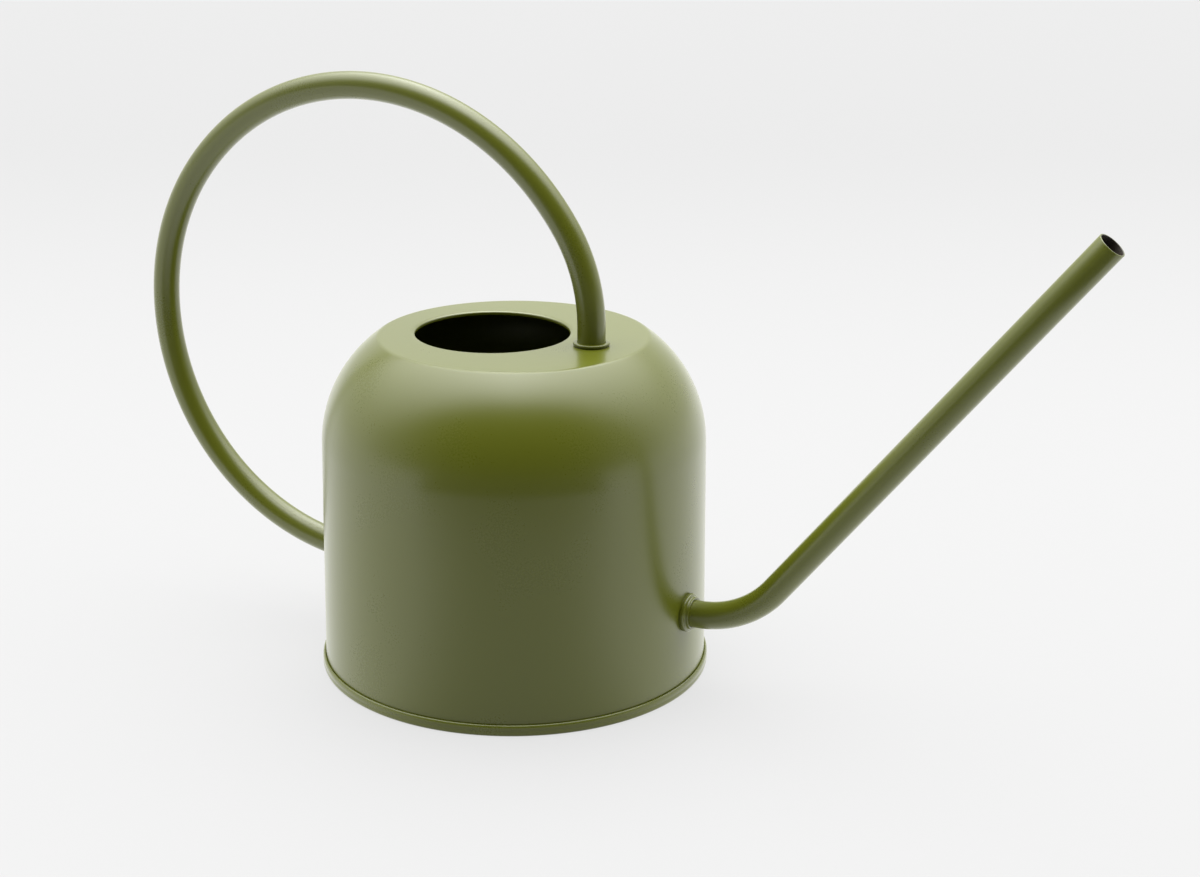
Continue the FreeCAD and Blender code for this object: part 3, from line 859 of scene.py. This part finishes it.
class CAN_OT_stage(Operator):
    """Set up the pale floor, the soft light tent and the camera"""
    bl_idname = "can.stage"
    bl_label = "Stage"

    def execute(self, context):
        scene = context.scene
        stage = scene.can_stage
        self.floor(scene, stage)
        self.shade_sheet(stage)
        self.tent(scene, stage)
        self.camera(scene, stage)
        scene.view_settings.view_transform = "Standard"
        return {"FINISHED"}

    def floor(self, scene, stage):
        deselect()
        bpy.ops.mesh.primitive_circle_add(vertices=96, radius=stage.floor, fill_type="NGON")
        floor = bpy.context.active_object
        floor.name = "studio_floor"
        floor.data.materials.append(floor_material(scene.can_finish, tuple(-self.front(stage))))

    def shade_sheet(self, stage):
        """Painted shade in the can's reflections: a near-black sheet lying in front of the can, seen only in
        its gloss, standing in for the unlit studio in front.
        """
        front = self.front(stage)
        reach = 3.0
        lift = 0.001
        deselect()
        bpy.ops.mesh.primitive_circle_add(vertices=96, radius=stage.shade_sheet, location=(0, 0, lift))
        shade_sheet_object = bpy.context.active_object
        shade_sheet_object.name = "black_cloth"
        bpy.ops.object.transform_apply(location=True)
        bpy.ops.object.mode_set(mode="EDIT")
        bpy.ops.mesh.select_mode(type="VERT")
        bpy.ops.mesh.select_all(action="SELECT")
        bpy.ops.mesh.extrude_region()
        bpy.ops.transform.resize(value=(reach / stage.shade_sheet, reach / stage.shade_sheet, 1))
        limit = math.cos(stage.shade_sheet_half)
        pick(shade_sheet_object, "polygons", lambda middle, face: middle.normalized().dot(front) <= limit)
        bpy.ops.mesh.delete(type="FACE")
        bpy.ops.object.mode_set(mode="OBJECT")
        # Glossy rays alone see it, so it only darkens the can's reflections.
        shade_sheet_object.visible_camera = shade_sheet_object.visible_diffuse = shade_sheet_object.visible_shadow = False
        mixing = Recipe("black_cloth")
        sheet_mottle = mixing.noise(300)
        # Near-black colour standing in for the unlit studio, as painted shade in the can's gloss.
        tone = mixing.mix(sheet_mottle, (0.01, 0.01, 0.01), (0.02, 0.02, 0.02))
        shade_sheet_object.data.materials.append(mixing.surface(Base_Color=tone, Roughness=1.0, Specular_IOR_Level=0.0))

    def front(self, stage):
        return Vector((math.sin(stage.around), -math.cos(stage.around), 0))

    def tent(self, scene, stage):
        """The light tent: a bright roof, paler sides and back, and a dark opening at the front."""
        world = bpy.data.worlds.new("studio_tent")
        air = Recipe("studio_tent", world)
        direction = air.node("ShaderNodeTexCoord", output=0)
        front = self.front(stage)
        side = Vector((math.cos(stage.around), math.sin(stage.around), 0))

        up = air.vectors("DOT_PRODUCT", direction, tuple(UP), number=True)
        ahead = air.vectors("DOT_PRODUCT", direction, tuple(front), number=True)
        across = abs(air.vectors("DOT_PRODUCT", direction, tuple(side), number=True))
        rise = air.maths_max(up, 0.001)
        forward = ahead / rise
        roof = math.e ** (across / rise * (-1 / stage.roof_spread))
        roof = roof * air.step(forward, *stage.roof_front, soft=True)
        roof = roof * air.step(forward, *stage.roof_back, soft=True)
        level = (across * across + ahead * ahead) ** 0.5
        facing = ahead / air.maths_max(level, 0.001)
        walls = air.node("ShaderNodeValToRGB", {"stops": [
            (0.0, (1.3,) * 3), (0.18, (1.3,) * 3), (0.29, (1.5,) * 3), (0.42, (1.55,) * 3),
            (0.5, (1.15,) * 3),
            (0.655, (0.7,) * 3), (0.785, (0.22,) * 3), (0.895, (0.06,) * 3), (0.97, (0.03,) * 3),
            (1.0, (0.03,) * 3)]}, {"Fac": facing * 0.5 + 0.5})
        light = roof * stage.roof + walls
        seen = air.node("ShaderNodeLightPath")
        glow = air.node("ShaderNodeBackground", None, {"Color": (1, 1, 1), "Strength": light})
        plain = air.node("ShaderNodeBackground", None, {"Color": (stage.seen_air,) * 3})
        both = air.node("ShaderNodeMixShader", None, {0: seen, 1: glow, 2: plain})
        air.node("ShaderNodeOutputWorld", None, {"Surface": both})
        scene.world = world

    def camera(self, scene, stage):
        place = self.front(stage) * stage.distance + UP * stage.height
        bpy.ops.object.camera_add(location=place)
        camera = bpy.context.active_object
        camera.name = "camera"
        camera.data.lens = stage.lens
        camera.data.sensor_width = 36
        aim_at(camera, stage.aim, stage.roll)
        scene.camera = camera


# ---------------------------------------------------------------- panel and running

STEPS = (CAN_OT_tank, CAN_OT_base, CAN_OT_spout, CAN_OT_handle, CAN_OT_collars, CAN_OT_joints, CAN_OT_stage)


class CAN_PT_panel(Panel):
    """Lists the can's pieces in the order they are made"""
    bl_idname = "CAN_PT_panel"
    bl_label = "Watering can"
    bl_space_type = "VIEW_3D"
    bl_region_type = "UI"
    bl_category = "Can"

    def draw(self, context):
        for step in STEPS:
            self.layout.operator(step.bl_idname)
        for name in GROUPS:
            group = getattr(context.scene, name)
            box = self.layout.box()
            box.label(text=name.replace("can_", "").capitalize())
            for key in group.__annotations__:
                box.prop(group, key)


def register():
    for group in GROUPS.values():
        bpy.utils.register_class(group)
    for step in STEPS:
        bpy.utils.register_class(step)
    bpy.utils.register_class(CAN_PT_panel)
    for name, group in GROUPS.items():
        setattr(bpy.types.Scene, name, PointerProperty(type=group))


def unregister():
    for name in GROUPS:
        delattr(bpy.types.Scene, name)
    bpy.utils.unregister_class(CAN_PT_panel)
    for step in reversed(STEPS):
        bpy.utils.unregister_class(step)
    for group in reversed(list(GROUPS.values())):
        bpy.utils.unregister_class(group)


def main():
    register()
    bpy.ops.can.tank()
    bpy.ops.can.base()
    bpy.ops.can.spout()
    bpy.ops.can.handle()
    bpy.ops.can.collars()
    bpy.ops.can.joints()
    bpy.ops.can.stage()


if __name__ == "__main__":
    main()
